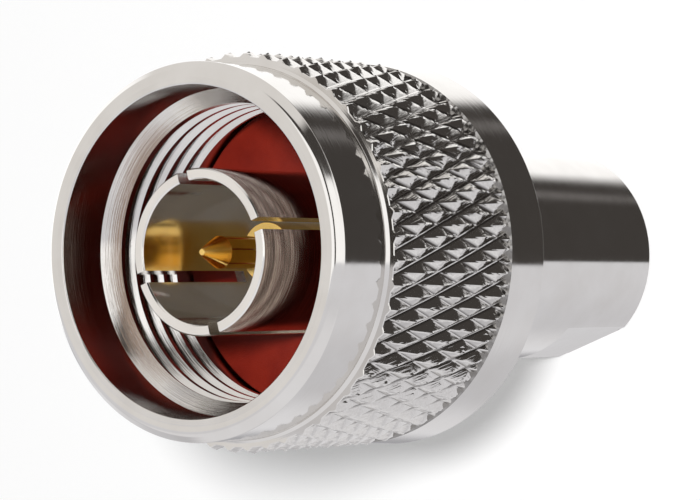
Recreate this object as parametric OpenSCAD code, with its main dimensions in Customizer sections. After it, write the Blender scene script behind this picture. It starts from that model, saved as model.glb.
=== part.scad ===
// Coaxial adapter: a screw-on plug with a knurled coupling nut at one end and
// a recessed snap-in jack at the other. The axis is +Z with the plug's mouth
// up, and the barrel stands on its rear face at Z = 0. Sizes in millimetres.

/* [Barrel] */
// Outside diameter of the barrel
barrel_d = 11.4; // [10.8:0.1:12.4]
// Length of the barrel that shows behind the nut
barrel_l = 17.1; // [13:0.1:22]
// Bevel on the barrel's rear edge
barrel_bevel = 0.2; // [0.1:0.05:0.4]
// Distance across the two wrench flats
flat_af = 10.4; // [9:0.1:10.7]
// Length of the wrench flats from the rear face
flat_l = 6; // [3:0.1:12]
// Diameter of the flange that carries the gasket
flange_d = 14.2; // [12.9:0.1:14.4]
// Thickness of that flange
flange_t = 1; // [0.7:0.1:1.6]

/* [Coupling nut] */
// Thickness of the nut's rear wall, which turns on the barrel
rear_wall = 3.6; // [3:0.1:5]
// Diameter of the plain collar round the nut's mouth
collar_d = 18.3; // [17.4:0.1:19.4]
// Width of that collar
collar_w = 3.7; // [2:0.05:5]
// Bevel on the collar's front edge
collar_bevel = 0.4; // [0.1:0.05:0.6]
// Step from the collar up to the bottom of the knurl's grooves
knurl_step = 0.2; // [0.1:0.05:0.4]
// Height of the knurl's points over its grooves
knurl_h = 0.45; // [0.2:0.05:0.6]
// Number of points round the knurl
knurl_count = 52; // [40:1:64]
// Distance along the axis between points in line
knurl_pitch = 3.35; // [2.4:0.05:4.4]
// Distance from the knurl's front end to its first row of points
knurl_lead = 0.5; // [0.1:0.05:1.1]
// Width of the plain ring at the nut's rear
ring_w = 2.75; // [1.5:0.05:4]
// How far that ring stands proud of the knurl's points
ring_lip = 0.05; // [0.02:0.01:0.3]
// Bevel on the ring's rear edge
ring_bevel = 0.2; // [0.1:0.05:0.4]
// Bore of the nut's mouth
mouth_d = 16; // [15.4:0.1:16.6]
// Depth of the mouth before the thread's lead-in
mouth_l = 2.8; // [1.5:0.1:3.4]
// Inside diameter over the thread's crests
thread_d = 14.6; // [14.5:0.05:15.2]
// Length of the lead-in cone in front of the thread
lead_l = 0.8; // [0.5:0.05:1.2]
// Length of the thread
thread_l = 4.6; // [3.3:0.05:4.8]
// Diameter of the relief behind the thread
relief_d = 15.9; // [15.6:0.1:16.4]

/* [Plug end] */
// How far the outer contact's end lies behind the nut's mouth
contact_recess = 0.8; // [0.3:0.1:2]
// Outside diameter of the outer contact's fingers
contact_d = 8.1; // [7.9:0.05:8.3]
// Bore of the outer contact
contact_bore = 7; // [6.8:0.05:7.2]
// Bevel on the ends of the fingers
contact_bevel = 0.08; // [0.04:0.01:0.2]
// Number of slots in the outer contact
slot_count = 4; // [3:1:6]
// Width of a slot
slot_w = 0.6; // [0.3:0.05:1]
// Length of a slot
slot_l = 7.7; // [5:0.1:8.4]
// Turn of the slots from the wrench flats, in degrees
slot_turn = -7; // [-45:1:45]
// Turn of every second slot from an even spacing, in degrees
slot_skew = 5; // [-10:0.5:10]
// Depth of the groove at the outer contact's foot, in which the gasket sits
root_groove = 0.25; // [0.21:0.01:0.35]
// Distance from the contact's end back to the gasket
gasket_depth = 8.9; // [8.5:0.1:9.6]
// Thickness of the gasket
gasket_t = 1.5; // [1:0.1:2]
// Outside diameter of the gasket
gasket_d = 15.7; // [14.2:0.1:15.7]

/* [Centre contact] */
// Diameter of the centre pin
pin_d = 1.6; // [1.4:0.05:1.8]
// How far the pin's tip lies behind the outer contact's end
tip_recess = 0.27; // [0:0.01:1]
// Diameter of the flat on the pin's tip
tip_d = 0.3; // [0.1:0.05:0.5]
// Length of the pin's cone
cone_l = 1.35; // [0.8:0.05:2]
// Diameter of the shoulder behind the pin
shoulder_d = 3.04; // [2.6:0.02:3.4]
// Distance from the outer contact's end back to the shoulder
shoulder_depth = 5.28; // [4.6:0.02:6]
// Diameter of the neck through the front insulator
neck_d = 2.1; // [1.8:0.1:2.4]
// Diameter of the pin's tail, pressed into the socket contact
tail_d = 0.9; // [0.7:0.05:1.1]
// Length of that tail
tail_l = 3; // [1.5:0.1:5]
// Diameter of the socket contact's stem
stem_d = 1.8; // [1.5:0.05:2.2]
// Diameter of the collar that holds the socket contact
stop_d = 2.8; // [2.5:0.1:3.6]
// Thickness of that collar
stop_t = 1; // [0.5:0.1:2]
// Diameter of the socket's nose
nose_d = 1.3; // [1.1:0.05:1.5]
// Bore of the socket
socket_d = 0.54; // [0.4:0.02:0.7]
// Depth of the socket's bore
socket_l = 2.4; // [1.5:0.1:4]
// Width of the cross slots in the socket's nose
socket_slot_w = 0.16; // [0.1:0.02:0.3]
// Length of those slots
socket_slot_l = 1.5; // [0.8:0.1:1.8]

/* [Inside the barrel] */
// Diameter of the outer contact's base in the barrel
base_d = 9.3; // [9:0.1:9.6]
// Length of that base
base_l = 3.5; // [3:0.1:5]
// Diameter of the front insulator
bead_d = 7.8; // [7.4:0.1:8.2]
// Thickness of the front insulator
bead_l = 3; // [2:0.1:3.4]
// Diameter of the rear insulator
core_d = 6; // [5:0.1:7]

/* [Rear jack] */
// Bore of the jack's mouth
jack_d = 3.6; // [3.2:0.1:3.9]
// Depth of the mouth's wall
jack_l = 2.3; // [1.5:0.1:4]
// Bevel at the jack's mouth
jack_bevel = 0.3; // [0.1:0.05:0.5]
// Diameter of the snap chamber behind the mouth
chamber_d = 4.2; // [4:0.1:4.8]
// Length of the snap chamber
chamber_l = 2.2; // [1.5:0.1:4]
// How far the socket's nose lies inside the chamber's rear end
nose_recess = 0.3; // [0.1:0.1:1]

/* [Retaining ring] */
// Radial width of the ring
snap_w = 0.9; // [0.7:0.05:1.2]
// Thickness of the ring
snap_t = 0.8; // [0.5:0.05:1.2]
// Depth of the ring's groove in the barrel
snap_groove = 0.5; // [0.3:0.02:0.52]
// Distance from the nut's rear face to the ring's middle
snap_offset = 1.8; // [1:0.1:2]
// Gap where the ring is split
snap_gap = 1.4; // [0.6:0.1:3]

/* [Fits] */
// Radial clearance of the nut on the barrel
nut_clear = 0.06; // [0.02:0.01:0.1]
// Axial gap between the gasket's flange and the nut's wall
flange_gap = 0.3; // [0.2:0.05:0.6]
// Clearance of the ring in the nut's groove
snap_clear = 0.1; // [0.05:0.01:0.2]
// Clearance of the ring in the barrel's groove
grip_clear = 0.02; // [0.01:0.01:0.05]
// Clearance of pressed pieces in their seats
seat_clear = 0.01; // [0.005:0.005:0.03]

/* [Hidden] */
$fn = 144;
nickel = [0.78, 0.77, 0.75];
gold = [0.83, 0.62, 0.24];
silicone = [0.45, 0.07, 0.05];
ptfe = [0.93, 0.93, 0.90];
// How far a cut runs past the face it opens
past = 1;
// How far pieces of one solid run into each other
lap = 0.3;
// What is left between the knurl's grooves and the step below them
skin = 0.05;

// Heights, from the rear face up to the nut's mouth
nut_z0 = barrel_l;
flange_z0 = nut_z0 + rear_wall + flange_gap;
gasket_z0 = flange_z0 + flange_t;
gasket_z1 = gasket_z0 + gasket_t;
contact_z1 = gasket_z1 + gasket_depth;
nut_z1 = contact_z1 + contact_recess;
seat_z = gasket_z0 - base_l;
bead_z1 = seat_z + bead_l;
chamber_z1 = jack_l + chamber_l;
shoulder_z = contact_z1 - shoulder_depth;
tip_z = contact_z1 - tip_recess;
nose_z = jack_l + nose_recess;
snap_z = nut_z0 + snap_offset;
thread_z1 = nut_z1 - mouth_l - lead_l;
thread_z0 = thread_z1 - thread_l;
knurl_z0 = nut_z0 + ring_w;
knurl_z1 = nut_z1 - collar_w;

// Radii of the knurl, built up from the collar, of the retaining ring and of the gasket's groove
groove_r = collar_d / 2 + knurl_step;
point_r = groove_r + knurl_h;
ring_r = point_r + ring_lip;
snap_seat_r = barrel_d / 2 - snap_groove;
snap_r0 = snap_seat_r + grip_clear;
snap_r1 = snap_r0 + snap_w;
root_r = contact_d / 2 - root_groove;

// A solid of revolution about +Z from an outline of [radius, height] points
module turned(outline) {
    rotate_extrude() polygon(outline);
}

// A flat ring between two radii and two heights
module washer(r0, r1, z0, z1) {
    turned([[r0, z0], [r1, z0], [r1, z1], [r0, z1]]);
}

// The turned barrel: flange, ring groove, seats for the insulators, rear jack
module body_turning() {
    half = snap_t / 2 + grip_clear;
    barrel_r = barrel_d / 2;
    base_r = base_d / 2 + seat_clear;
    core_r = core_d / 2 + seat_clear;
    turned([
        [jack_d / 2 + jack_bevel, 0],
        [barrel_r - barrel_bevel, 0],
        [barrel_r, barrel_bevel],
        [barrel_r, snap_z - half],
        [snap_seat_r, snap_z - half],
        [snap_seat_r, snap_z + half],
        [barrel_r, snap_z + half],
        [barrel_r, flange_z0],
        [flange_d / 2, flange_z0],
        [flange_d / 2, gasket_z0],
        [base_r, gasket_z0],
        [base_r, seat_z],
        [core_r, seat_z],
        [core_r, chamber_z1],
        [chamber_d / 2, chamber_z1],
        [chamber_d / 2, jack_l],
        [jack_d / 2, jack_l],
        [jack_d / 2, jack_bevel]
    ]);
}

module body() {
    color(nickel) difference() {
        body_turning();
        for (side = [0, 180])
            rotate([0, 0, side])
                translate([flat_af / 2, -barrel_d, -past])
                    cube([barrel_d, 2 * barrel_d, flat_l + past]);
    }
}

// The slotted sleeve of the plug, with the gasket's groove at its foot and its base in the barrel
module outer_contact() {
    bore_r = contact_bore / 2;
    bead_r = bead_d / 2 + seat_clear;
    color(nickel) difference() {
        turned([
            [bead_r, seat_z],
            [base_d / 2, seat_z],
            [base_d / 2, gasket_z0],
            [root_r, gasket_z0],
            [root_r, gasket_z1 + grip_clear],
            [contact_d / 2, gasket_z1 + grip_clear],
            [contact_d / 2, contact_z1 - contact_bevel],
            [contact_d / 2 - contact_bevel, contact_z1],
            [bore_r + contact_bevel, contact_z1],
            [bore_r, contact_z1 - contact_bevel],
            [bore_r, bead_z1],
            [bead_r, bead_z1]
        ]);
        for (k = [0 : slot_count - 1])
            rotate([0, 0, slot_turn + k * 360 / slot_count + (k % 2) * slot_skew])
                translate([0, -slot_w / 2, contact_z1 - slot_l])
                    cube([contact_d, slot_w, slot_l + past]);
    }
}

module front_insulator() {
    color(ptfe) washer(neck_d / 2 + seat_clear, bead_d / 2, seat_z, bead_z1);
}

module rear_insulator() {
    stem_r = stem_d / 2 + seat_clear;
    stop_r = stop_d / 2 + seat_clear;
    color(ptfe) turned([
        [stem_r, chamber_z1],
        [core_d / 2, chamber_z1],
        [core_d / 2, seat_z],
        [stop_r, seat_z],
        [stop_r, seat_z - stop_t],
        [stem_r, seat_z - stop_t]
    ]);
}

// The pin: cone and shaft, shoulder, neck through the insulator and tail
module centre_pin() {
    color(gold) turned([
        [0, seat_z - tail_l],
        [tail_d / 2, seat_z - tail_l],
        [tail_d / 2, seat_z],
        [neck_d / 2, seat_z],
        [neck_d / 2, bead_z1],
        [shoulder_d / 2, bead_z1],
        [shoulder_d / 2, shoulder_z],
        [pin_d / 2, shoulder_z],
        [pin_d / 2, tip_z - cone_l],
        [tip_d / 2, tip_z],
        [0, tip_z]
    ]);
}

// The socket behind the pin, with its slotted nose in the rear jack
module socket_contact() {
    tail_r = tail_d / 2 + seat_clear;
    color(gold) difference() {
        turned([
            [0, nose_z],
            [nose_d / 2, nose_z],
            [nose_d / 2, chamber_z1],
            [stem_d / 2, chamber_z1],
            [stem_d / 2, seat_z - stop_t],
            [stop_d / 2, seat_z - stop_t],
            [stop_d / 2, seat_z],
            [0, seat_z]
        ]);
        translate([0, 0, nose_z - past]) cylinder(d = socket_d, h = socket_l + past);
        translate([0, 0, seat_z - tail_l - lap]) cylinder(r = tail_r, h = tail_l + lap + past);
        for (turn = [0, 90])
            rotate([0, 0, turn])
                translate([-nose_d, -socket_slot_w / 2, nose_z - past])
                    cube([2 * nose_d, socket_slot_w, socket_slot_l + past]);
    }
}

module gasket() {
    color(silicone) washer(root_r + grip_clear, gasket_d / 2, gasket_z0, gasket_z1);
}

// The split spring ring that holds the nut on the barrel
module retaining_ring() {
    color(nickel) difference() {
        washer(snap_r0, snap_r1, snap_z - snap_t / 2, snap_z + snap_t / 2);
        translate([0, -snap_gap / 2, snap_z - snap_t])
            cube([barrel_d, snap_gap, 2 * snap_t]);
    }
}

// The knurl as a closed band: rows of points and grooves that change places
// from each row to the next, so that four facets rise to every point. The
// first row lies past the front end, and both ends are cut square.
module knurl_band() {
    n = 2 * knurl_count;
    row_h = knurl_pitch / 2;
    inner_r = collar_d / 2 - lap;
    top_z = knurl_z1 - knurl_lead + row_h;
    rows = ceil((top_z - knurl_z0 + lap) / row_h) + 1;
    low_z = top_z - (rows - 1) * row_h;
    function tooth_r(j, k) = (j + k) % 2 == 0 ? point_r : groove_r;
    function ring(z, radii) = [for (j = [0 : n - 1])
        [radii[j] * cos(j * 360 / n), radii[j] * sin(j * 360 / n), z]];
    function level(k) = [for (j = [0 : n - 1]) tooth_r(j, rows - 1 - k)];
    function plain(r) = [for (j = [0 : n - 1]) r];
    // Rings of points from the band's rear inner edge, over the teeth, to its front inner edge
    rings = concat(
        [ring(low_z, plain(inner_r))],
        [for (k = [0 : rows - 1]) ring(low_z + k * row_h, level(k))],
        [ring(top_z, plain(inner_r))]
    );
    loops = len(rings);
    // Two triangles between four neighbours, split from groove to groove
    function split(i, j) =
        let (a = i * n + j, b = i * n + (j + 1) % n)
        let (c = ((i + 1) % loops) * n + (j + 1) % n, d = ((i + 1) % loops) * n + j)
        (j + rows + i) % 2 == 1 ? [[a, d, c], [a, c, b]] : [[a, d, b], [b, d, c]];
    faces = [for (i = [0 : loops - 1]) for (j = [0 : n - 1]) each split(i, j)];
    points = [for (r = rings) each r];
    intersection() {
        polyhedron(points, faces);
        washer(inner_r - lap, point_r + lap, knurl_z0 - lap, knurl_z1);
    }
}

// The nut's bore from the rear wall up to its mouth
module nut_bore() {
    half = snap_t / 2 + snap_clear;
    bore_r = barrel_d / 2 + nut_clear;
    snap_r = snap_r1 + snap_clear;
    wall_z1 = nut_z0 + rear_wall;
    turned([
        [0, nut_z0 - past],
        [bore_r, nut_z0 - past],
        [bore_r, snap_z - half],
        [snap_r, snap_z - half],
        [snap_r, snap_z + half],
        [bore_r, snap_z + half],
        [bore_r, wall_z1],
        [relief_d / 2, wall_z1],
        [relief_d / 2, thread_z0],
        [thread_d / 2, thread_z0],
        [thread_d / 2, thread_z1],
        [mouth_d / 2, nut_z1 - mouth_l],
        [mouth_d / 2, nut_z1 + past],
        [0, nut_z1 + past]
    ]);
}

module coupling_nut() {
    step_bevel = knurl_step - skin;
    core_r = groove_r - skin / 2;
    color(nickel) difference() {
        union() {
            turned([
                [0, nut_z0],
                [ring_r - ring_bevel, nut_z0],
                [ring_r, nut_z0 + ring_bevel],
                [ring_r, knurl_z0],
                [core_r, knurl_z0],
                [core_r, knurl_z1 + step_bevel + collar_d / 2 - core_r],
                [collar_d / 2, knurl_z1 + step_bevel],
                [collar_d / 2, nut_z1 - collar_bevel],
                [collar_d / 2 - collar_bevel, nut_z1],
                [0, nut_z1]
            ]);
            knurl_band();
        }
        nut_bore();
    }
}

body();
outer_contact();
front_insulator();
rear_insulator();
centre_pin();
socket_contact();
gasket();
retaining_ring();
coupling_nut();
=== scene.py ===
import math

import bpy
import numpy as np
from mathutils import Matrix, Vector, noise


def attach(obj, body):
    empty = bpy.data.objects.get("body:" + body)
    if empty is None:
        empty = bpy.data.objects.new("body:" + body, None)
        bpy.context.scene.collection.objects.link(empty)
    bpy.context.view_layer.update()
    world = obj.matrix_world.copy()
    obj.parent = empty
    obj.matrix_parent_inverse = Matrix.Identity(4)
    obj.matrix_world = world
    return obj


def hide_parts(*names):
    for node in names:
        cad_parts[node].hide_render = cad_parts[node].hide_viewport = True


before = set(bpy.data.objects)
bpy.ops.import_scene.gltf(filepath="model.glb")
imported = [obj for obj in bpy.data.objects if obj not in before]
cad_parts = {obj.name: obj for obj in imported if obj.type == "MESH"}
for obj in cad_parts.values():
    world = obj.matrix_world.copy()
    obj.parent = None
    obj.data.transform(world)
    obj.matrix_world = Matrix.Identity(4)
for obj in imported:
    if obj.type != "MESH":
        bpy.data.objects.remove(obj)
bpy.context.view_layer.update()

# Sizes in millimetres, the same as in the part's source
MM = 0.001
BARREL_R = 5.7
BARREL_BEVEL = 0.2
FLAT_HALF = 5.2
FLAT_L = 6.0
FLANGE_R = 7.1
FLANGE_Z0 = 21.0
SEAT_Z = 18.5
BASE_R = 4.65
CORE_R = 3.0
SEAT_CLEAR = 0.01
JACK_R = 1.8
JACK_L = 2.3
JACK_BEVEL = 0.3
CHAMBER_R = 2.1
CHAMBER_Z1 = 4.5
SNAP_Z = 18.9
SNAP_HALF = 0.42
SNAP_SEAT_R = 5.2
NUT_Z0 = 17.1
NUT_Z1 = 33.2
NUT_BORE_R = 5.76
NUT_WALL = 3.6
NUT_SNAP_R = 6.22
NUT_SNAP_HALF = 0.5
RELIEF_R = 7.95
MOUTH_R = 8.0
MOUTH_L = 2.8
THREAD_R = 7.3
THREAD_L = 4.6
LEAD_L = 0.8
COLLAR_R = 9.15
COLLAR_BEVEL = 0.4
STEP_BEVEL = 0.15
RING_R = 9.85
KNURL_Z0 = 19.85
KNURL_Z1 = 29.5
KNURL_COUNT = 52
KNURL_PITCH = 3.35
KNURL_LEAD = 0.5
GROOVE_R = 9.35
KNURL_H = 0.45
GASKET_Z0 = 22.0
GASKET_Z1 = 23.5
GASKET_R = 7.85
ROOT_R = 3.8
GRIP_CLEAR = 0.02
CONTACT_Z1 = 32.4
CONTACT_R = 4.05
CONTACT_BORE_R = 3.5
CONTACT_BEVEL = 0.08
SLOT_COUNT = 4
SLOT_W = 0.6
SLOT_L = 7.7
SLOT_TURN = -7.0
SLOT_SKEW = 5.0
BEAD_R = 3.9
BEAD_Z1 = 21.5
PIN_R = 0.8
TIP_R = 0.15
TIP_Z = 32.13
CONE_L = 1.35
SHOULDER_R = 1.52
SHOULDER_Z = 27.12
NECK_R = 1.05
TAIL_R = 0.45
TAIL_L = 3.0
STEM_R = 0.9
STOP_R = 1.4
STOP_T = 1.0
NOSE_R = 0.65
NOSE_Z = 2.6
SOCKET_R = 0.27
SOCKET_L = 2.4
SOCKET_SLOT_W = 0.16
SOCKET_SLOT_L = 1.5
TAIL_LAP = 0.3

# Sizes in millimetres, and angles, of the detail that only the scene has
THREAD_PITCH = 1.058
THREAD_DEPTH = 0.54
THREAD_Z1 = NUT_Z1 - MOUTH_L - LEAD_L
THREAD_Z0 = THREAD_Z1 - THREAD_L
CREST_HALF = 0.13
CREST_DEPTH = 3.73
CREST_ANGLE = 68.0
FLANK = math.radians(30)
EDGE = 0.04
COLLAR_EDGE = 0.10
FACE_EDGE = 0.36
MOUTH_EDGE = 0.10
PIN_EDGE = 0.06
GASKET_EDGE = 0.12
KNURL_RISE = 0.05
RING_DROP = 0.15
RING_EDGE = 0.1
RIM_GAP = 0.05
LIP_H = 0.18
FOOT_R = GROOVE_R - 0.05

# How finely the meshes are divided, and when two lengths count as the same
COLUMNS = 208
PIN_COLUMNS = 96
CONTACT_COLUMNS = 48
SOCKET_COLUMNS = 12
SLOT_COLUMNS = 4
FLANK_ROWS = 4
KNURL_SPLIT = 8
LAST_ROW = 0.2
INNER_SHARE = 4
ARC_STEPS = 3
ARC_ROOM = 0.4
CREASE = 25.0
NUT_CREASE = 14.0
NEAR = 1e-6
ON_AXIS = 1e-9

# The nut's faces, where its fine columns outside meet the coarse ones inside
REAR_SEAM_R = (NUT_BORE_R + RING_R) / 2
FRONT_SEAM_R = (MOUTH_R + COLLAR_R - COLLAR_BEVEL) / 2

# Ledges, tears and painted shade in the grooves of the knurl, as shares of a groove's width or of
# the knurl's height
LEDGE_W = 1 / KNURL_SPLIT
LEDGE_H = 0.03
FLAT_FLOOR = 0.2
TEAR_W = 0.15
TEAR_H = 0.18
TEARS_PER_MM = 7.0
GROOVE_SHADE_W = 0.10
# Colour of the painted shade at the bottom of the knurl's grooves
GROOVE_SHADE = (0.20, 0.19, 0.185)

# The nut's materials, in the order in which its mesh has them
PLAIN, DEEP_CUT, TOOLED, FLAT_CUT, SHADED_WALL = range(5)

# Both tints of each finish
NICKEL = ((0.79, 0.775, 0.755), (0.74, 0.72, 0.695))
KNURL_NICKEL = ((0.79, 0.775, 0.755), (0.70, 0.68, 0.655))
TOOLED_NICKEL = ((0.79, 0.775, 0.755), (0.72, 0.70, 0.675))
# Painted shade: a darker nickel for the narrow wall between the plain ring and the knurl
SHADED_WALL_NICKEL = ((0.42, 0.41, 0.40), (0.30, 0.29, 0.28))
CONTACT_PLATE = ((0.90, 0.88, 0.85), (0.85, 0.825, 0.79))
BRUSHED_PLATE = ((0.66, 0.53, 0.45), (0.37, 0.285, 0.235))
GOLD = ((0.98, 0.685, 0.235), (0.92, 0.60, 0.165))
STEEL = ((0.56, 0.55, 0.53), (0.46, 0.45, 0.43))
SILICONE = ((0.28, 0.022, 0.011), (0.20, 0.014, 0.008))
PTFE = ((0.95, 0.95, 0.935), (0.92, 0.92, 0.90))
ANGLE_SHARE = 0.12

# The photograph's camera, fitted to the circles that it shows
FRAME_W = 700
FOCAL_PX = 3060.4
MOUTH_DISTANCE = 146.26
YAW = math.radians(36.827)
PITCH = math.radians(0.384)
MOUTH_PX = (-162.74, 1.92)
SIDE_ANGLE = -112.0
SENSOR = 36.0
CLIP_M = (0.01, 20)

# Lamp and floor
FILL = 0.4
LAMP_SIZE = 70.0
LAMP_DISTANCE = 600.0
LAMP_LIFT = math.radians(6)
LAMP_SIDE = math.radians(5)
LAMP_WATTS = 2.9
PAPER = (0.86, 0.86, 0.86)
FLOOR_LIFT = 0.12
FLOOR_HALF_M = 0.6
GLOSSY_BOUNCES = 12

# The studio that the metal mirrors
STUDIO_WALL = (0.84, 0.815, 0.79)
STUDIO_WHITE = (1.22, 1.21, 1.20)
STUDIO_DARK = (0.060, 0.054, 0.050)
STUDIO_GREY = (0.17, 0.16, 0.155)
TABLE = (0.765, 0.76, 0.785)
TABLE_BELOW = (0.55, 0.545, 0.565)
TABLE_NEAR = (0.845, 0.84, 0.86)
TABLE_FAR = (0.82, 0.815, 0.835)
TABLE_END = (0.38, 0.375, 0.39)


# Meshes

def circle(count):
    return [2 * math.pi * k / count for k in range(count)]


def on_circle(radius, angle, z):
    return (radius * math.cos(angle), radius * math.sin(angle), z)


def corner_arc(before, corner, after, ease):
    """Points and outward normals of an outline's corner, rounded to the radius `ease`
    where there is room."""
    before, corner, after = (np.array(p, float) for p in (before, corner, after))
    into, away = corner - before, after - corner
    room = ARC_ROOM * min(np.hypot(*into), np.hypot(*away))
    into /= np.hypot(*into)
    away /= np.hypot(*away)
    turn = math.atan2(into[0] * away[1] - into[1] * away[0], into @ away)
    first = np.array([into[1], -into[0]])
    if abs(turn) < NEAR:
        return [corner], [first]
    slope = math.tan(abs(turn) / 2)
    reach = min(ease * slope, room)
    radius = math.copysign(reach / slope, turn)
    centre = corner - into * reach - first * radius
    normals = []
    for s in range(ARC_STEPS + 1):
        c, d = math.cos(turn * s / ARC_STEPS), math.sin(turn * s / ARC_STEPS)
        normals.append(np.array([first[0] * c - first[1] * d, first[0] * d + first[1] * c]))
    return [centre + n * radius for n in normals], normals


def eased(outline, ease, closed=True):
    """An outline of (radius, height) corners, anticlockwise round the metal, with rounded corners.
    `ease` is one radius or one for each corner.
    Corners on the axis and the ends of an open outline stay as they are."""
    points, normals = [], []
    ease = np.broadcast_to(ease, len(outline))
    last = len(outline) - 1
    for k, corner in enumerate(outline):
        before, after = outline[k - 1], outline[(k + 1) % len(outline)]
        on_axis = corner[0] < ON_AXIS
        at_end = not closed and k in (0, last)
        if not on_axis and not at_end:
            arc, slopes = corner_arc(before, corner, after, ease[k])
            points += arc
            normals += slopes
            continue
        one, two = (corner, after) if k == 0 or before[0] < ON_AXIS else (before, corner)
        run = np.array(two, float) - np.array(one, float)
        run /= np.hypot(*run)
        points.append(np.array(corner, float))
        normals.append(np.array([run[1], -run[0]]))
    return points, normals


class Skin:
    """Corners, faces, shading normals and material numbers of one closed mesh, in millimetres."""

    def __init__(self):
        self.points = []
        self.faces = []
        self.normals = []
        self.paint = []
        self.slot = 0

    def point(self, place):
        self.points.append(tuple(float(c) for c in place))
        return len(self.points) - 1

    def ring(self, angles, radius, height, like=None):
        """One corner at each angle.
        Where the ring `like` has a corner at the same place, it is shared."""
        radius = np.broadcast_to(radius, len(angles))
        if radius.max() < ON_AXIS:
            return [self.point((0, 0, height))] * len(angles)
        found = []
        for k, angle in enumerate(angles):
            place = on_circle(radius[k], angle, height)
            shared = like and math.dist(place, self.points[like[k]]) < NEAR
            found.append(like[k] if shared else self.point(place))
        return found

    def face(self, corners, normals=None):
        kept = [k for k in range(len(corners)) if corners[k] != corners[k - 1]]
        if len(kept) < 3:
            return
        self.faces.append([corners[k] for k in kept])
        self.normals.append([normals[k] for k in kept] if normals else None)
        self.paint.append(self.slot)

    def strip(self, angles, low, high, slope_low=None, slope_high=None):
        """Quads between two rings.
        A slope is the (outward, up) normal of the turned outline there."""
        for j in range(len(angles)):
            k = (j + 1) % len(angles)
            normals = None
            if slope_low is not None:
                turned = [(slope_low, j), (slope_low, k), (slope_high, k), (slope_high, j)]
                normals = [on_circle(s[0], angles[i], s[1]) for s, i in turned]
            self.face([low[j], low[k], high[k], high[j]], normals)

    def turn(self, angles, outline, ease, closed=True, last=None):
        """Turns an outline round the axis and returns its first and last ring.
        The ring `last`, if given, is used for the last."""
        points, slopes = eased(outline, ease, closed)
        rings = [self.ring(angles, p[0], p[1]) for p in (points[:-1] if last else points)]
        rings += [last] if last else []
        for k in range(len(rings) if closed else len(rings) - 1):
            n = (k + 1) % len(rings)
            if max(points[k][0], points[n][0]) > ON_AXIS:
                self.strip(angles, rings[k], rings[n], slopes[k], slopes[n])
        return rings[0], rings[-1]

    def build(self, name, materials, crease=CREASE):
        mesh = bpy.data.meshes.new(name)
        mesh.from_pydata([[c * MM for c in p] for p in self.points], [], self.faces)
        for material in materials:
            mesh.materials.append(material)
        mesh.polygons.foreach_set("material_index", self.paint)
        mesh.shade_smooth()
        mesh.set_sharp_from_angle(angle=math.radians(crease))
        loops = []
        for corners, normals in zip(self.faces, self.normals):
            loops += normals or [(0.0, 0.0, 0.0)] * len(corners)
        mesh.normals_split_custom_set(loops)
        piece = bpy.data.objects.new(name, mesh)
        bpy.context.scene.collection.objects.link(piece)
        return piece


# Materials

def new_material(name):
    material = bpy.data.materials.new(name)
    material.use_nodes = True
    tree = material.node_tree
    return material, tree, tree.nodes["Principled BSDF"]


def add(tree, kind, sockets=None, **settings):
    node = tree.nodes.new(kind)
    for key, value in settings.items():
        setattr(node, key, value)
    for key, value in (sockets or {}).items():
        if isinstance(value, bpy.types.NodeSocket):
            tree.links.new(value, node.inputs[key])
        else:
            node.inputs[key].default_value = value
    return node


def calc(tree, operation, *values):
    return add(tree, "ShaderNodeMath", dict(enumerate(values)), operation=operation).outputs[0]


def blend(tree, factor, first, second):
    """Two colours mixed by a value. Each is a tuple or comes from another node."""
    sockets = {"Factor": factor}
    for key, colour in ((6, first), (7, second)):
        sockets[key] = (*colour, 1) if isinstance(colour, tuple) else colour
    return add(tree, "ShaderNodeMix", sockets, data_type="RGBA").outputs[2]


def millimetres(tree):
    """The place on the object in millimetres."""
    place = add(tree, "ShaderNodeTexCoord").outputs["Object"]
    scaled = add(tree, "ShaderNodeVectorMath", {0: place, "Scale": 1 / MM}, operation="SCALE")
    return scaled.outputs[0]


def turned_place(tree, place):
    """Radius, height and a little of the angle: lines in this space run round the axis."""
    parts = add(tree, "ShaderNodeSeparateXYZ", {0: place}).outputs
    flat = add(tree, "ShaderNodeCombineXYZ", {0: parts[0], 1: parts[1]}).outputs[0]
    radius = add(tree, "ShaderNodeVectorMath", {0: flat}, operation="LENGTH").outputs["Value"]
    slow = calc(tree, "MULTIPLY", calc(tree, "ARCTAN2", parts[1], parts[0]), ANGLE_SHARE)
    return add(tree, "ShaderNodeCombineXYZ", {0: radius, 1: parts[2], 2: slow}).outputs[0]


def noise_of(tree, place, scale, detail=3.0):
    sockets = {"Vector": place, "Scale": scale, "Detail": detail}
    return add(tree, "ShaderNodeTexNoise", sockets).outputs["Fac"]


def spread(tree, value, low, high, start=0.3, end=0.7):
    """A value that runs from `start` to `end` made to run from `low` to `high`."""
    sockets = {"Value": value, "From Min": start, "From Max": end, "To Min": low, "To Max": high}
    return add(tree, "ShaderNodeMapRange", sockets).outputs[0]


def bump(tree, shader, height, depth_mm):
    sockets = {"Strength": 1.0, "Distance": depth_mm * MM, "Height": height}
    node = add(tree, "ShaderNodeBump", sockets)
    tree.links.new(node.outputs[0], shader.inputs["Normal"])


def plated(name, tints, rough, lines_mm, depth_mm, streaked=False):
    """A plated turned metal: rings left by the tool, smudges in its gloss,
    and a tint that wanders or, if streaked, follows the rings."""
    material, tree, shader = new_material(name)
    place = millimetres(tree)
    rings = noise_of(tree, turned_place(tree, place), 1 / lines_mm, detail=4.0)
    smudge = noise_of(tree, place, 0.45, detail=4.0)
    tint = blend(tree, spread(tree, rings if streaked else smudge, 0.0, 1.0), *tints)
    tree.links.new(tint, shader.inputs["Base Color"])
    gloss = spread(tree, calc(tree, "MULTIPLY", rings, smudge), *rough, start=0.1, end=0.4)
    tree.links.new(gloss, shader.inputs["Roughness"])
    shader.inputs["Metallic"].default_value = 1.0
    bump(tree, shader, rings, depth_mm)
    return material


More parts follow.
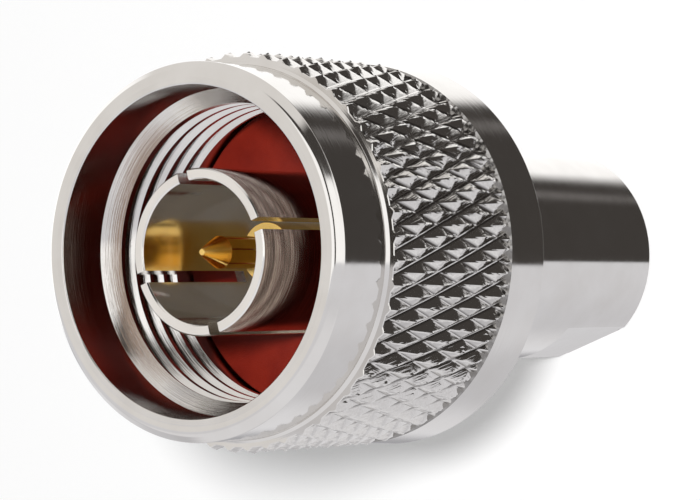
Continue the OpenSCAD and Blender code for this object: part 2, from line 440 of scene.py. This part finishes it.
def knurled_metal(name, lean, tints, rough, lines, depth_mm):
    """A plated knurl: fine lines that run with the grooves that lean one way (1) or the other (-1).
    Shade is painted as a darker tint at the bottom of the grooves, on the wall without the ledge."""
    material, tree, shader = new_material(name)
    place = millimetres(tree)
    parts = add(tree, "ShaderNodeSeparateXYZ", {0: place}).outputs
    angle = calc(tree, "ARCTAN2", parts[1], parts[0])
    turns = calc(tree, "MULTIPLY", angle, KNURL_COUNT / (2 * math.pi))
    along = calc(tree, "MULTIPLY", parts[2], lean / KNURL_PITCH)
    across = calc(tree, "ADD", turns, along)
    course = calc(tree, "SUBTRACT", turns, along)
    fine = calc(tree, "MULTIPLY", across, lines)
    drawn = add(tree, "ShaderNodeCombineXYZ", {0: fine, 1: course}).outputs[0]
    streaks = noise_of(tree, drawn, 1.0, detail=2.0)
    grain = noise_of(tree, place, 9.0, detail=4.0)
    tint = blend(tree, spread(tree, grain, 0.0, 1.0), *tints)
    start = lean * (KNURL_Z1 - KNURL_LEAD) / KNURL_PITCH
    part = calc(tree, "FRACT", calc(tree, "SUBTRACT", across, start))
    # Painted shade: the tint darkens towards the bottom of each groove
    bottom = (1 - GROOVE_SHADE_W, 1) if lean > 0 else (GROOVE_SHADE_W, 0)
    groove_shaded_tint = blend(tree, spread(tree, part, 0.0, 1.0, *bottom), tint, GROOVE_SHADE)
    tree.links.new(groove_shaded_tint, shader.inputs["Base Color"])
    tree.links.new(spread(tree, grain, *rough), shader.inputs["Roughness"])
    shader.inputs["Metallic"].default_value = 1.0
    bump(tree, shader, spread(tree, streaks, 0.0, 1.0, start=0.42, end=0.62), depth_mm)
    return material


def rubber():
    material, tree, shader = new_material("red_silicone")
    place = millimetres(tree)
    cloud = noise_of(tree, place, 0.6, detail=4.0)
    grain = noise_of(tree, place, 14.0)
    tint = blend(tree, spread(tree, cloud, 0.0, 1.0), *SILICONE)
    tree.links.new(tint, shader.inputs["Base Color"])
    tree.links.new(spread(tree, grain, 0.38, 0.55), shader.inputs["Roughness"])
    shader.inputs["Specular IOR Level"].default_value = 0.4
    bump(tree, shader, grain, depth_mm=0.012)
    return material


def fluoropolymer():
    material, tree, shader = new_material("white_insulator")
    place = millimetres(tree)
    cloud = noise_of(tree, place, 0.8)
    rings = noise_of(tree, turned_place(tree, place), 9.0)
    tint = blend(tree, spread(tree, cloud, 0.0, 1.0), *PTFE)
    tree.links.new(tint, shader.inputs["Base Color"])
    tree.links.new(spread(tree, rings, 0.42, 0.58), shader.inputs["Roughness"])
    shader.inputs["Subsurface Weight"].default_value = 0.15
    shader.inputs["Subsurface Radius"].default_value = (0.0006, 0.0006, 0.0005)
    bump(tree, shader, rings, depth_mm=0.006)
    return material


# Turned pieces

def barrel(material):
    """The barrel with its two wrench flats, which end in a straight shoulder."""
    edge = math.acos(FLAT_HALF / BARREL_R)
    angles = sorted(circle(COLUMNS) + [edge, math.pi - edge, math.pi + edge, 2 * math.pi - edge])
    outline = [
        (JACK_R + JACK_BEVEL, 0),
        (BARREL_R - BARREL_BEVEL, 0),
        (BARREL_R, BARREL_BEVEL),
        (BARREL_R, FLAT_L),
        (BARREL_R, SNAP_Z - SNAP_HALF),
        (SNAP_SEAT_R, SNAP_Z - SNAP_HALF),
        (SNAP_SEAT_R, SNAP_Z + SNAP_HALF),
        (BARREL_R, SNAP_Z + SNAP_HALF),
        (BARREL_R, FLANGE_Z0),
        (FLANGE_R, FLANGE_Z0),
        (FLANGE_R, GASKET_Z0),
        (BASE_R + SEAT_CLEAR, GASKET_Z0),
        (BASE_R + SEAT_CLEAR, SEAT_Z),
        (CORE_R + SEAT_CLEAR, SEAT_Z),
        (CORE_R + SEAT_CLEAR, CHAMBER_Z1),
        (CHAMBER_R, CHAMBER_Z1),
        (CHAMBER_R, JACK_L),
        (JACK_R, JACK_L),
        (JACK_R, JACK_BEVEL),
    ]
    points, slopes = eased(outline, EDGE)
    flat_r = FLAT_HALF / np.maximum(np.abs(np.cos(angles)), NEAR)
    downward = np.array([0.0, -1.0])
    skin = Skin()
    rings, ends = [], []
    for (radius, z), slope in zip(points, slopes):
        milled = z < FLAT_L + NEAR and radius > FLAT_HALF
        rings.append(skin.ring(angles, np.minimum(radius, flat_r) if milled else radius, z))
        ends.append((slope, slope))
        if milled and abs(z - FLAT_L) < NEAR:
            rings.append(skin.ring(angles, radius, z, like=rings[-1]))
            ends[-1] = (slope, downward)
            ends.append((downward, slope))
    for k in range(len(rings)):
        n = (k + 1) % len(rings)
        skin.strip(angles, rings[k], rings[n], ends[k][1], ends[n][0])
    for i, corners in enumerate(skin.faces):
        sides = [skin.points[c][0] for c in corners]
        if all(abs(abs(s) - FLAT_HALF) < NEAR for s in sides):
            skin.normals[i] = [(math.copysign(1.0, sides[0]), 0.0, 0.0)] * len(corners)
    return skin.build("barrel_shell", [material])


def slotted(name, materials, outline, slot_z, turns, width, columns, outside=math.inf):
    """A turned piece whose one end is sawn into fingers by slots with parallel walls.
    The outline has a corner at the slots' bottom on each wall.
    The stretch from the first of these corners to the second is sawn.
    Faces further out than `outside` get the second material."""
    points, slopes = eased(outline, EDGE)
    first, last = [k for k, p in enumerate(points) if abs(p[1] - slot_z) < NEAR]
    total = len(points)
    sawn = list(range(first, last + 1))
    whole = [(last + k) % total for k in range(total - len(sawn) + 2)]
    skin = Skin()
    poles = {k: skin.point((0, 0, p[1])) for k, p in enumerate(points) if p[0] < ON_AXIS}

    def column(start, reach, share):
        """One column of corners and normals.
        `share` runs across a slot, or across a finger that ends `reach` further on."""
        found = {}
        for k in range(total) if reach else whole:
            radius, z = points[k]
            half = math.asin(min(1, width / 2 / max(radius, width / 2)))
            low, span = (half, reach - 2 * half) if reach else (-half, 2 * half)
            angle = start + low + share * span
            index = poles[k] if k in poles else skin.point(on_circle(radius, angle, z))
            found[k] = (index, on_circle(slopes[k][0], angle, slopes[k][1]))
        return found

    def panels(one, two, chain):
        for a, b in zip(chain, chain[1:]):
            if not (a in poles and b in poles):
                corners = [one[a], two[a], two[b], one[b]]
                skin.face([c[0] for c in corners], [c[1] for c in corners])

    line = []
    for s, turn in enumerate(turns):
        start = math.radians(turn)
        reach = math.radians((turns[(s + 1) % len(turns)] - turn) % 360)
        line += [("slot", column(start, 0, c / SLOT_COLUMNS)) for c in range(1, SLOT_COLUMNS)]
        for c in range(columns + 1):
            kind = "start" if c == 0 else "end" if c == columns else "finger"
            line.append((kind, column(start, reach, c / columns)))
    for i, (kind, one) in enumerate(line):
        two = line[(i + 1) % len(line)][1]
        panels(one, two, whole)
        if kind in ("start", "finger"):
            panels(one, two, sawn)
        else:
            skin.face([one[first][0], two[first][0], two[last][0], one[last][0]])
        if kind == "start":
            skin.face([one[k][0] for k in reversed(sawn)])
        if kind == "end":
            skin.face([one[k][0] for k in sawn])
    for i, corners in enumerate(skin.faces):
        skin.paint[i] = int(all(math.hypot(*skin.points[c][:2]) > outside for c in corners))
    return skin.build(name, materials)


def outer_contact(materials):
    slot_z = CONTACT_Z1 - SLOT_L
    outline = [
        (BEAD_R + SEAT_CLEAR, SEAT_Z),
        (BASE_R, SEAT_Z),
        (BASE_R, GASKET_Z0),
        (ROOT_R, GASKET_Z0),
        (ROOT_R, GASKET_Z1 + GRIP_CLEAR),
        (CONTACT_R, GASKET_Z1 + GRIP_CLEAR),
        (CONTACT_R, slot_z),
        (CONTACT_R, CONTACT_Z1 - CONTACT_BEVEL),
        (CONTACT_R - CONTACT_BEVEL, CONTACT_Z1),
        (CONTACT_BORE_R + CONTACT_BEVEL, CONTACT_Z1),
        (CONTACT_BORE_R, CONTACT_Z1 - CONTACT_BEVEL),
        (CONTACT_BORE_R, slot_z),
        (CONTACT_BORE_R, BEAD_Z1),
        (BEAD_R + SEAT_CLEAR, BEAD_Z1),
    ]
    turns = [SLOT_TURN + k * 360 / SLOT_COUNT + k % 2 * SLOT_SKEW for k in range(SLOT_COUNT)]
    sizes = (slot_z, turns, SLOT_W, CONTACT_COLUMNS)
    return slotted("contact_sleeve", materials, outline, *sizes, outside=CONTACT_R - EDGE)


def socket_contact(material):
    slot_z = NOSE_Z + SOCKET_SLOT_L
    tail_r = TAIL_R + SEAT_CLEAR
    outline = [
        (SOCKET_R, slot_z),
        (SOCKET_R, NOSE_Z),
        (NOSE_R, NOSE_Z),
        (NOSE_R, slot_z),
        (NOSE_R, CHAMBER_Z1),
        (STEM_R, CHAMBER_Z1),
        (STEM_R, SEAT_Z - STOP_T),
        (STOP_R, SEAT_Z - STOP_T),
        (STOP_R, SEAT_Z),
        (tail_r, SEAT_Z),
        (tail_r, SEAT_Z - TAIL_L - TAIL_LAP),
        (0, SEAT_Z - TAIL_L - TAIL_LAP),
        (0, NOSE_Z + SOCKET_L),
        (SOCKET_R, NOSE_Z + SOCKET_L),
    ]
    sizes = (slot_z, [0, 90, 180, 270], SOCKET_SLOT_W, SOCKET_COLUMNS)
    return slotted("contact_socket", [material], outline, *sizes)


def centre_pin(material):
    outline = [
        (0, SEAT_Z - TAIL_L),
        (TAIL_R, SEAT_Z - TAIL_L),
        (TAIL_R, SEAT_Z),
        (NECK_R, SEAT_Z),
        (NECK_R, BEAD_Z1),
        (SHOULDER_R, BEAD_Z1),
        (SHOULDER_R, SHOULDER_Z),
        (PIN_R, SHOULDER_Z),
        (PIN_R, TIP_Z - CONE_L),
        (TIP_R, TIP_Z),
        (0, TIP_Z),
    ]
    skin = Skin()
    skin.turn(circle(PIN_COLUMNS), outline, PIN_EDGE)
    return skin.build("contact_pin", [material])


def gasket(material):
    outline = [
        (ROOT_R + GRIP_CLEAR, GASKET_Z0),
        (GASKET_R, GASKET_Z0),
        (GASKET_R, GASKET_Z1),
        (ROOT_R + GRIP_CLEAR, GASKET_Z1),
    ]
    skin = Skin()
    skin.turn(circle(COLUMNS), outline, GASKET_EDGE)
    return skin.build("gasket_ring", [material])


# The coupling nut

def groove(turns, ledge_above):
    """Height over one family of grooves: 0 on whole turns and 1 half-way between them.
    Beside its bottom each groove has a narrow ledge, on the wall that looks to the nut's rear."""
    part = turns - np.floor(turns)
    height = 1 - np.abs(2 * part - 1)
    ledge = np.interp(height, (0, LEDGE_W, 1), (0, LEDGE_H, 1))
    return np.where((part < 0.5) == ledge_above, ledge, height)


def knurl_walls(angles, z):
    """Heights over the knurl's two families of grooves, the deeper one and the flatter one."""
    turns = KNURL_COUNT * np.array(angles) / (2 * math.pi)
    along = (z - (KNURL_Z1 - KNURL_LEAD)) / KNURL_PITCH
    deep = groove(turns + along, True)
    flat = FLAT_FLOOR + (1 - FLAT_FLOOR) * groove(turns - along, False)
    return deep, flat


def knurl_radius(angles, z):
    """Radius over the knurl, whose crests are torn."""
    deep, flat = knurl_walls(angles, z)
    places = [Vector(on_circle(GROOVE_R, angle, z)) * TEARS_PER_MM for angle in angles]
    near_crest = np.exp(-(((deep - flat) / TEAR_W) ** 2))
    torn = np.abs([noise.noise(place) for place in places]) * near_crest
    height = np.clip(np.minimum(deep, flat) - TEAR_H * torn, 0, 1)
    return GROOVE_R + KNURL_RISE + KNURL_H * height


def knurl(skin, angles, front):
    """Facets over the knurl, from the ring `front` at its square front end back to the plain ring.
    A low lip stands at the front end, where the grooves stop."""
    half_row = KNURL_PITCH / 2
    cell = half_row / KNURL_SPLIT
    row_z = KNURL_Z1 - KNURL_LEAD
    rows = []
    step = math.floor((KNURL_LEAD - EDGE) / cell)
    while row_z + step * cell > KNURL_Z0 + LAST_ROW * cell:
        rows.append(row_z + step * cell)
        step -= 1
    lip_r = GROOVE_R + LIP_H
    edge_z = KNURL_Z1 - EDGE
    top = skin.ring(angles, np.maximum(knurl_radius(angles, KNURL_Z1), lip_r) - EDGE, KNURL_Z1)
    above = skin.ring(angles, np.maximum(knurl_radius(angles, edge_z), lip_r), edge_z)
    skin.slot = PLAIN
    skin.strip(angles, top, front)
    skin.strip(angles, above, top)
    above_z = KNURL_Z1
    for z in rows + [KNURL_Z0]:
        ring = skin.ring(angles, knurl_radius(angles, z), z)
        row = math.floor(((z + above_z) / 2 - row_z) / half_row)
        deep, flat = knurl_walls(np.array(angles) + angles[1] / 2, (z + above_z) / 2)
        for j in range(len(angles)):
            skin.slot = DEEP_CUT if deep[j] < flat[j] else FLAT_CUT
            n = (j + 1) % len(angles)
            quad = [ring[j], ring[n], above[n], above[j]]
            turned = (j // KNURL_SPLIT + row) % 2
            quad = quad[turned:] + quad[:turned]
            skin.face([quad[0], quad[1], quad[2]])
            skin.face([quad[0], quad[2], quad[3]])
        above, above_z = ring, z
    return above


def thread_radius(z, angle):
    """Radius of the threaded bore.
    The thread starts behind its first crest, which runs up to the lead-in cone."""
    turn = (math.degrees(angle) - CREST_ANGLE + 180) % 360 - 180
    crest = NUT_Z1 - CREST_DEPTH + THREAD_PITCH * turn / 360
    if z > crest - CREST_HALF:
        return THREAD_R
    off = (z - crest + THREAD_PITCH / 2) % THREAD_PITCH - THREAD_PITCH / 2
    return THREAD_R + min(max((abs(off) - CREST_HALF) / math.tan(FLANK), 0.0), THREAD_DEPTH)


def thread(skin, angles):
    """The thread as rows that climb with it, held between its lower end and the lead-in cone.
    Returns the rings at these two ends."""
    flank = THREAD_DEPTH * math.tan(FLANK)
    marks = [-CREST_HALF, CREST_HALF]
    marks += [CREST_HALF + flank * s / FLANK_ROWS for s in range(1, FLANK_ROWS + 1)]
    marks += [THREAD_PITCH - CREST_HALF - flank * s / FLANK_ROWS for s in range(FLANK_ROWS, 0, -1)]
    crest = NUT_Z1 - CREST_DEPTH - THREAD_PITCH * CREST_ANGLE / 360
    start = math.floor((THREAD_Z0 - crest) / THREAD_PITCH) - 1
    stop = math.ceil((THREAD_Z1 - crest) / THREAD_PITCH)
    heights = [crest + k * THREAD_PITCH + m for k in range(start, stop + 1) for m in marks]
    bottom = skin.ring(angles, [thread_radius(THREAD_Z0, a) for a in angles], THREAD_Z0)
    top = skin.ring(angles, [thread_radius(THREAD_Z1, a) for a in angles], THREAD_Z1)
    columns = []
    for j, angle in enumerate(angles):
        column = []
        for z in heights:
            z += THREAD_PITCH * angle / (2 * math.pi)
            if z <= THREAD_Z0 + NEAR:
                column.append(bottom[j])
            elif z >= THREAD_Z1 - NEAR:
                column.append(top[j])
            else:
                column.append(skin.point(on_circle(thread_radius(z, angle), angle, z)))
        columns.append(column)
    # After one turn each row meets the row one pitch higher
    columns.append(columns[0][len(marks):] + [top[0]] * len(marks))
    for one, two in zip(columns, columns[1:]):
        for i in range(len(heights) - 1):
            skin.face([two[i], one[i], one[i + 1], two[i + 1]])
    return bottom, top


def nut_outside(skin, angles):
    """Plain ring, knurl and collar. Returns the rings at the rear and the front seam.
    The plain ring narrows a little towards the knurl, whose crests stand proud of it."""
    front_foot = skin.ring(angles, FOOT_R, KNURL_Z1)
    rear_foot = knurl(skin, angles, front_foot)
    skin.slot = PLAIN
    ring_outline = [
        (REAR_SEAM_R, NUT_Z0),
        (RING_R - RING_EDGE, NUT_Z0),
        (RING_R, NUT_Z0 + RING_EDGE),
        (RING_R - RING_DROP, KNURL_Z0 - RIM_GAP),
    ]
    rear_seam, rim = skin.turn(angles, ring_outline, EDGE, closed=False)
    # The narrow wall from the ring's rim to the knurl gets a darker nickel, which is painted shade
    skin.slot = SHADED_WALL
    skin.strip(angles, rim, rear_foot)
    skin.slot = PLAIN
    collar_outline = [
        (FOOT_R, KNURL_Z1),
        (COLLAR_R, KNURL_Z1 + STEP_BEVEL),
        (COLLAR_R, NUT_Z1 - COLLAR_BEVEL),
        (COLLAR_R - COLLAR_BEVEL, NUT_Z1),
        (FRONT_SEAM_R, NUT_Z1),
    ]
    edges = [EDGE, COLLAR_EDGE, COLLAR_EDGE, FACE_EDGE, EDGE]
    points, slopes = eased(collar_outline, edges, closed=False)
    rings = [front_foot] + [skin.ring(angles, p[0], p[1]) for p in points[1:]]
    for k in range(len(rings) - 1):
        skin.strip(angles, rings[k], rings[k + 1], slopes[k], slopes[k + 1])
    return rear_seam, rings[-1]


def nut_inside(skin, angles):
    """Mouth, thread, relief and bore. Returns the rings at the rear and the front seam."""
    skin.slot = TOOLED
    bottom, top = thread(skin, angles)
    mouth_outline = [
        (FRONT_SEAM_R, NUT_Z1),
        (MOUTH_R, NUT_Z1),
        (MOUTH_R, NUT_Z1 - MOUTH_L),
        (THREAD_R, THREAD_Z1),
    ]
    edges = [EDGE, MOUTH_EDGE, EDGE, EDGE]
    front_seam, _ = skin.turn(angles, mouth_outline, edges, closed=False, last=top)
    skin.slot = PLAIN
    wall_z = NUT_Z0 + NUT_WALL
    bore_outline = [
        (RELIEF_R, THREAD_Z0),
        (RELIEF_R, wall_z),
        (NUT_BORE_R, wall_z),
        (NUT_BORE_R, SNAP_Z + NUT_SNAP_HALF),
        (NUT_SNAP_R, SNAP_Z + NUT_SNAP_HALF),
        (NUT_SNAP_R, SNAP_Z - NUT_SNAP_HALF),
        (NUT_BORE_R, SNAP_Z - NUT_SNAP_HALF),
        (NUT_BORE_R, NUT_Z0),
        (REAR_SEAM_R, NUT_Z0),
    ]
    relief_top, rear_seam = skin.turn(angles, bore_outline, EDGE, closed=False)
    skin.strip(angles, bottom, relief_top, (0, -1), (0, -1))
    return rear_seam, front_seam


def nut(materials):
    """The nut as one closed skin, with fine columns outside for the knurl and fewer inside."""
    fine = circle(2 * KNURL_COUNT * KNURL_SPLIT)
    coarse = fine[::INNER_SHARE]
    skin = Skin()
    rear_fine, front_fine = nut_outside(skin, fine)
    rear_coarse, front_coarse = nut_inside(skin, coarse)
    up, down = [(0.0, 0.0, 1.0)], [(0.0, 0.0, -1.0)]
    for j in range(len(coarse)):
        k = (j + 1) % len(coarse)
        span = [(j * INNER_SHARE + s) % len(fine) for s in range(INNER_SHARE + 1)]
        front = [front_fine[s] for s in span] + [front_coarse[k], front_coarse[j]]
        rear = [rear_fine[s] for s in reversed(span)] + [rear_coarse[j], rear_coarse[k]]
        skin.face(front, up * len(front))
        skin.face(rear, down * len(rear))
    return skin.build("knurled_nut", materials, NUT_CREASE)


# Camera, light and floor

def photo_axes():
    """The photograph's right, down and forward directions, and the camera's place,
    in the shared frame."""
    side = math.radians(SIDE_ANGLE)
    along = Vector((0, 0, -1))
    across = Vector((math.cos(side), math.sin(side), 0))
    down = along.cross(across)
    sy, cy, sp, cp = math.sin(YAW), math.cos(YAW), math.sin(PITCH), math.cos(PITCH)
    right = along * (sy * cp) + across * cy - down * (sp * sy)
    below = along * sp + down * cp
    forward = along * (cy * cp) - across * sy - down * (sp * cy)
    depth = MOUTH_DISTANCE
    reach = right * (MOUTH_PX[0] * depth / FOCAL_PX) + below * (MOUTH_PX[1] * depth / FOCAL_PX)
    place = (Vector((0, 0, NUT_Z1)) - reach - forward * depth) * MM
    return right, below, forward, place


def make_camera():
    right, below, forward, place = photo_axes()
    data = bpy.data.cameras.new("photo_camera")
    data.sensor_width = SENSOR
    data.lens = FOCAL_PX / FRAME_W * SENSOR
    data.clip_start, data.clip_end = CLIP_M
    camera = bpy.data.objects.new("photo_camera", data)
    turn = Matrix((right, -below, -forward)).transposed()
    camera.matrix_world = Matrix.Translation(place) @ turn.to_4x4()
    bpy.context.scene.collection.objects.link(camera)
    bpy.context.scene.camera = camera


def covered(tree, edges):
    """How far a part of the studio covers a direction.
    Each edge is a value, where the part begins and where it is whole."""
    cover = None
    for value, begin, whole in edges:
        sockets = {"Value": value, "From Min": begin, "From Max": whole}
        ramp = add(tree, "ShaderNodeMapRange", sockets, interpolation_type="SMOOTHSTEP")
        edge = ramp.outputs[0]
        cover = edge if cover is None else calc(tree, "MULTIPLY", cover, edge)
    return cover


def studio_colour(tree):
    """The studio by direction: x to the photograph's right, y up and z away from the camera."""
    right, below, forward, _ = photo_axes()
    ray = add(tree, "ShaderNodeTexCoord").outputs["Generated"]

    def along(axis):
        node = add(tree, "ShaderNodeVectorMath", {0: ray, 1: axis}, operation="DOT_PRODUCT")
        return node.outputs["Value"]

    x, y, z = along(right), along(-below), along(forward)
    wide = calc(tree, "ABSOLUTE", x)
    # Each part covers those before it
    parts = [
        # Dark side with a bright end and a grey stripe
        (STUDIO_DARK, (x, 0.30, 0.42)),
        (STUDIO_WHITE, (z, 0.65, 0.77)),
        (STUDIO_GREY, (z, 0.525, 0.545), (z, 0.60, 0.575), (y, 0.40, 0.50), (x, 0.36, 0.44)),
        # Bright wall behind the camera
        (STUDIO_WHITE, (z, -0.50, -0.65)),
        # Table, lower, nearer and further parts of it, and its far end
        (TABLE, (y, -0.060, -0.085)),
        (TABLE_BELOW, (y, -0.20, -1.0)),
        (TABLE_NEAR, (y, -0.30, -0.60), (z, 0.45, 0.30)),
        (TABLE_FAR, (y, -0.12, -0.30), (z, 0.62, 0.84)),
        (TABLE_END, (y, -0.07, -0.14), (z, 0.88, 0.98)),
        # Dark panel above and behind the camera, and the dark place of the camera itself
        (
            STUDIO_DARK,
            (x, 0.24, 0.16),
            (x, -0.60, -0.50),
            (y, 0.52, 0.58),
            (y, 0.88, 0.82),
            (z, -0.35, -0.50),
        ),
        (STUDIO_DARK, (wide, 0.20, 0.14), (z, -0.60, -0.75), (y, -0.09, -0.06), (y, 0.64, 0.56)),
    ]
    seen = STUDIO_WALL
    for colour, *edges in parts:
        seen = blend(tree, covered(tree, edges), seen, colour)
    return seen


def make_world():
    """A plain studio. Metal sees its parts by direction, the camera sees white
    and the rest gets even light."""
    world = bpy.data.worlds.new("studio")
    world.use_nodes = True
    world.cycles.sampling_method = "NONE"
    bpy.context.scene.world = world
    tree = world.node_tree

    def background(colour, strength):
        sockets = {"Color": colour, "Strength": strength}
        return add(tree, "ShaderNodeBackground", sockets).outputs[0]

    def choice(factor, first, second):
        return add(tree, "ShaderNodeMixShader", {0: factor, 1: first, 2: second}).outputs[0]

    plain = (1, 1, 1, 1)
    path = add(tree, "ShaderNodeLightPath").outputs
    mirrored = calc(tree, "MAXIMUM", path["Is Glossy Ray"], path["Is Transmission Ray"])
    lit = choice(mirrored, background(plain, FILL), background(studio_colour(tree), 1.0))
    seen = choice(path["Is Camera Ray"], lit, background(plain, 1.0))
    tree.links.new(seen, tree.nodes["World Output"].inputs["Surface"])


def make_light():
    """One soft lamp above the camera and left of it, as the photograph's own shadow falls low
    and to the right."""
    right, below, forward, _ = photo_axes()
    data = bpy.data.lights.new("key", "AREA")
    data.shape = "DISK"
    data.size = LAMP_SIZE * MM
    data.energy = LAMP_WATTS
    lamp = bpy.data.objects.new("key", data)
    middle = Vector((0, 0, NUT_Z0)) * MM
    aim = -forward - below * math.tan(LAMP_LIFT) - right * math.tan(LAMP_SIDE)
    aim = aim.normalized()
    lamp.location = middle + aim * (LAMP_DISTANCE * MM)
    lamp.rotation_mode = "QUATERNION"
    lamp.rotation_quaternion = (-aim).to_track_quat("-Z", "Y")
    lamp.visible_glossy = False
    bpy.context.scene.collection.objects.link(lamp)


def make_floor():
    """A pale floor that keeps the shadow and reads as white elsewhere."""
    material, tree, shader = new_material("floor_paper")
    output = tree.nodes["Material Output"]
    tree.nodes.remove(shader)
    paper = add(tree, "ShaderNodeBsdfDiffuse", {"Color": (*PAPER, 1)})
    camera_ray = add(tree, "ShaderNodeLightPath").outputs["Is Camera Ray"]
    lift = calc(tree, "MULTIPLY", camera_ray, FLOOR_LIFT)
    glow = add(tree, "ShaderNodeEmission", {"Color": (1, 1, 1, 1), "Strength": lift})
    both = add(tree, "ShaderNodeAddShader", {0: paper.outputs[0], 1: glow.outputs[0]})
    tree.links.new(both.outputs[0], output.inputs["Surface"])
    half = FLOOR_HALF_M
    corners = [(-half, -half, 0), (half, -half, 0), (half, half, 0), (-half, half, 0)]
    mesh = bpy.data.meshes.new("floor")
    mesh.from_pydata(corners, [], [(0, 1, 2, 3)])
    mesh.materials.append(material)
    floor = bpy.data.objects.new("floor", mesh)
    floor.visible_glossy = False
    bpy.context.scene.collection.objects.link(floor)


def place_piece(piece, body, node):
    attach(piece, body)
    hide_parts(node)


def paint_node(node, material):
    """A CAD node that is shown as it is gets the scene's material."""
    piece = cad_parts[node]
    piece.data.materials.clear()
    piece.data.materials.append(material)


nickel = plated("polished_nickel", NICKEL, (0.05, 0.11), lines_mm=0.15, depth_mm=0.003)
deep_cut = knurled_metal("deep_knurl", 1, KNURL_NICKEL, (0.07, 0.13), lines=12.0, depth_mm=0.005)
flat_cut = knurled_metal("flat_knurl", -1, KNURL_NICKEL, (0.07, 0.13), lines=12.0, depth_mm=0.002)
tooled = plated("tooled_nickel", TOOLED_NICKEL, (0.08, 0.17), lines_mm=0.06, depth_mm=0.006)
wall_shade_metal = plated("painted_shade_nickel", SHADED_WALL_NICKEL, (0.12, 0.20), lines_mm=0.15, depth_mm=0.003)
plate = plated("contact_nickel", CONTACT_PLATE, (0.08, 0.15), lines_mm=0.06, depth_mm=0.0018)
brushed = plated("brushed_nickel", BRUSHED_PLATE, (0.06, 0.14), 0.12, 0.004, streaked=True)
gold = plated("gold", GOLD, (0.08, 0.15), lines_mm=0.05, depth_mm=0.0022)
spring = plated("spring_steel", STEEL, (0.22, 0.36), lines_mm=0.04, depth_mm=0.002)
silicone = rubber()
ptfe = fluoropolymer()

place_piece(nut([nickel, deep_cut, tooled, flat_cut, wall_shade_metal]), "nut", "coupling_nut")
place_piece(barrel(nickel), "barrel", "body")
place_piece(outer_contact([plate, brushed]), "barrel", "outer_contact")
place_piece(centre_pin(gold), "barrel", "centre_pin")
place_piece(socket_contact(gold), "barrel", "socket_contact")
place_piece(gasket(silicone), "barrel", "gasket")
paint_node("front_insulator", ptfe)
paint_node("rear_insulator", ptfe)
paint_node("retaining_ring", spring)

make_camera()
make_world()
make_light()
make_floor()
bpy.context.scene.view_settings.view_transform = "Standard"
bpy.context.scene.cycles.glossy_bounces = GLOSSY_BOUNCES
